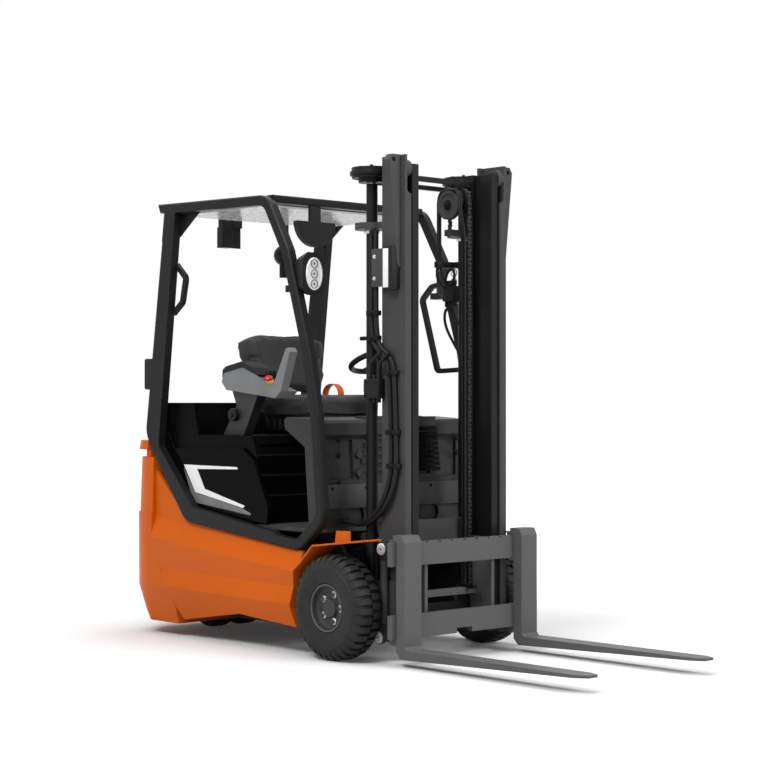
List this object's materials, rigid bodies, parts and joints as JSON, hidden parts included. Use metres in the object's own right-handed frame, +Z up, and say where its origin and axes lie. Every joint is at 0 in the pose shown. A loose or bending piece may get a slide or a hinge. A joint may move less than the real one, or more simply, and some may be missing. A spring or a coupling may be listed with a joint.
{
  "type": "three-wheel electric counterbalance forklift",
  "caption": "Electric counterbalance forklift with overhead guard, tilting two-stage mast, hook-on forks and a steered twin rear wheel",
  "frame": {"origin": "on the floor under the middle of the overall box", "axes": "+X towards the fork tips, +Y to the truck's left, +Z up"},
  "size_m": [2.932, 1.054, 2.175],
  "materials": {
    "orange_paint": "satin",
    "black_paint": "satin",
    "mast_steel": "satin",
    "cast_weight": "satin",
    "battery_case": "matt",
    "black_plastic": "grained",
    "gloss_black": "gloss",
    "silver_trim": "satin",
    "grey_plastic": "grained",
    "seat_fabric": "woven",
    "belt_web": "woven",
    "tyre_rubber": "matt",
    "rim_paint": "satin",
    "roof_glass": "clear",
    "lens_glass": "clear",
    "rod_chrome": "polished",
    "chain_steel": "oiled"
  },
  "bodies": {
    "truck": {"chassis": "black_paint", "drive_units": "black_paint", "side_panel_right": "orange_paint", "side_panel_left": "orange_paint", "counterweight": "cast_weight", "guard_right": "black_paint", "guard_left": "black_paint", "guard_roof": "black_paint", "roof_panel": "roof_glass", "floor_plate": "black_plastic", "front_cowl": "black_plastic", "battery_hood": "black_plastic", "battery": "battery_case", "side_cover_right": "gloss_black", "side_cover_left": "gloss_black", "side_accents": "silver_trim", "seat_base": "black_plastic", "seat_cushion": "seat_fabric", "seat_back": "seat_fabric", "armrest": "grey_plastic", "seat_belt": "belt_web", "steering_column": "black_plastic", "pedals": "black_plastic", "work_lights": "black_plastic", "lamp_lenses": "lens_glass", "grab_handles": "black_plastic", "mirror_bracket": "black_plastic", "roof_fittings": "black_plastic", "rear_lamps": "black_plastic"},
    "hand_wheel": {"steering_wheel": "black_plastic"},
    "steer_unit": {"steer_yoke": "black_paint"},
    "rear_wheels": {"rear_hub": "rim_paint", "rear_tyres": "tyre_rubber"},
    "front_wheel_right": {"front_rim_right": "rim_paint", "front_tyre_right": "tyre_rubber"},
    "front_wheel_left": {"front_rim_left": "rim_paint", "front_tyre_left": "tyre_rubber"},
    "mast_outer": {"outer_mast": "mast_steel", "lift_barrels": "mast_steel", "mast_caps": "mast_steel", "rear_chains": "chain_steel"},
    "mast_inner": {"inner_mast": "mast_steel", "lift_rods": "rod_chrome", "chain_sheaves": "mast_steel", "front_chains": "chain_steel"},
    "carriage": {"fork_carriage": "mast_steel"},
    "fork_unit_right": {"fork_right": "mast_steel"},
    "fork_unit_left": {"fork_left": "mast_steel"},
    "tilt_barrel_pair": {"tilt_barrels": "mast_steel"},
    "tilt_rod_pair": {"tilt_rods": "rod_chrome"}
  },
  "joints": [
    {"name": "front_right_roll", "type": "hinge", "parent": "truck", "child": "front_wheel_right", "pos_m": [0.091, -0.45, 0.2285], "axis": [0, 1, 0], "continuous": true},
    {"name": "front_left_roll", "type": "hinge", "parent": "truck", "child": "front_wheel_left", "pos_m": [0.091, 0.45, 0.2285], "axis": [0, 1, 0], "continuous": true},
    {"name": "rear_steer", "type": "hinge", "parent": "truck", "child": "steer_unit", "pos_m": [-1.261, 0, 0.4], "axis": [0, 0, 1], "range_deg": [-90, 90]},
    {"name": "rear_roll", "type": "hinge", "parent": "steer_unit", "child": "rear_wheels", "pos_m": [-1.261, 0, 0.1905], "axis": [0, 1, 0], "continuous": true},
    {"name": "steering_turn", "type": "hinge", "parent": "truck", "child": "hand_wheel", "pos_m": [-0.219, 0.1, 1.312], "axis": [-0.3483, 0, 0.9374], "range_deg": [-900, 900]},
    {"name": "mast_tilt", "type": "hinge", "parent": "truck", "child": "mast_outer", "pos_m": [0.091, 0, 0.2285], "axis": [0, 1, 0], "range_deg": [-7, 5]},
    {"name": "mast_lift", "type": "slide", "parent": "mast_outer", "child": "mast_inner", "axis": [0, 0, 1], "range_m": [0, 1.6], "deforming": ["rear_chains"]},
    {"name": "carriage_lift", "type": "slide", "parent": "mast_inner", "child": "carriage", "axis": [0, 0, 1], "range_m": [0, 1.6], "deforming": ["front_chains"]},
    {"name": "fork_right_shift", "type": "slide", "parent": "carriage", "child": "fork_unit_right", "axis": [0, -1, 0], "range_m": [-0.22, 0.02]},
    {"name": "fork_left_shift", "type": "slide", "parent": "carriage", "child": "fork_unit_left", "axis": [0, 1, 0], "range_m": [-0.22, 0.02]},
    {"name": "tilt_swing", "type": "hinge", "parent": "truck", "child": "tilt_barrel_pair", "pos_m": [-0.254, 0, 0.43], "axis": [0, 1, 0], "range_deg": [-2.39, 1.71]},
    {"name": "tilt_reach", "type": "slide", "parent": "tilt_barrel_pair", "child": "tilt_rod_pair", "axis": [0.962, 0, 0.2732], "range_m": [-0.03553, 0.02541]}
  ],
  "couplings": [
    {"joint": "steering_turn", "follows": "rear_steer", "ratio": -10},
    {"joint": "carriage_lift", "follows": "mast_lift", "ratio": 1},
    {"joint": "tilt_swing", "follows": "mast_tilt", "ratio": 0.34},
    {"joint": "tilt_reach", "follows": "mast_tilt", "m_per_rad": 0.29}
  ]
}
